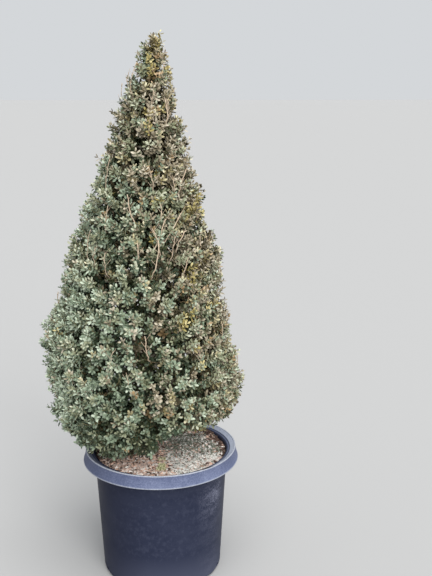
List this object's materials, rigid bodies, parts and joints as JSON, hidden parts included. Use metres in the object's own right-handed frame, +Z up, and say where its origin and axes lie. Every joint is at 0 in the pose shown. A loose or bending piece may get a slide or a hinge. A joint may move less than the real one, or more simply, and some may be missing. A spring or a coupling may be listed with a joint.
{
  "type": "boxwood cone topiary in a nursery pot",
  "caption": "Clipped boxwood cone on a single trunk with short boughs and dense small-leaved foliage, growing in bark mix in a round black nursery pot.",
  "frame": {"origin": "middle of the pot's flat underside, on the ground", "axes": "+Z up; the side seen in the picture faces -Y, and the crown stands a little towards -X of the pot"},
  "size_m": [0.5226, 0.5266, 1.471],
  "materials": {
    "pot_plastic": "satin, dusty",
    "potting_mix": "rough bark chips",
    "bark": "rough",
    "leaves": "leathery, half glossy"
  },
  "bodies": {
    "root": {"pot": "pot_plastic", "potting_mix": "potting_mix", "trunk": "bark", "bough_skirt_1": "bark", "bough_skirt_2": "bark", "bough_skirt_3": "bark", "bough_skirt_4": "bark", "bough_skirt_5": "bark", "bough_skirt_6": "bark", "bough_shoulder_1": "bark", "bough_shoulder_2": "bark", "bough_shoulder_3": "bark", "bough_shoulder_4": "bark", "bough_shoulder_5": "bark", "bough_flank_1": "bark", "bough_flank_2": "bark", "bough_flank_3": "bark", "bough_flank_4": "bark", "bough_neck_1": "bark", "bough_neck_2": "bark", "bough_neck_3": "bark", "foliage_skirt_1": "leaves", "foliage_skirt_2": "leaves", "foliage_skirt_3": "leaves", "foliage_skirt_4": "leaves", "foliage_skirt_5": "leaves", "foliage_skirt_6": "leaves", "foliage_shoulder_1": "leaves", "foliage_shoulder_2": "leaves", "foliage_shoulder_3": "leaves", "foliage_shoulder_4": "leaves", "foliage_shoulder_5": "leaves", "foliage_flank_1": "leaves", "foliage_flank_2": "leaves", "foliage_flank_3": "leaves", "foliage_flank_4": "leaves", "foliage_neck_1": "leaves", "foliage_neck_2": "leaves", "foliage_neck_3": "leaves", "foliage_tip": "leaves"}
  },
  "joints": []
}
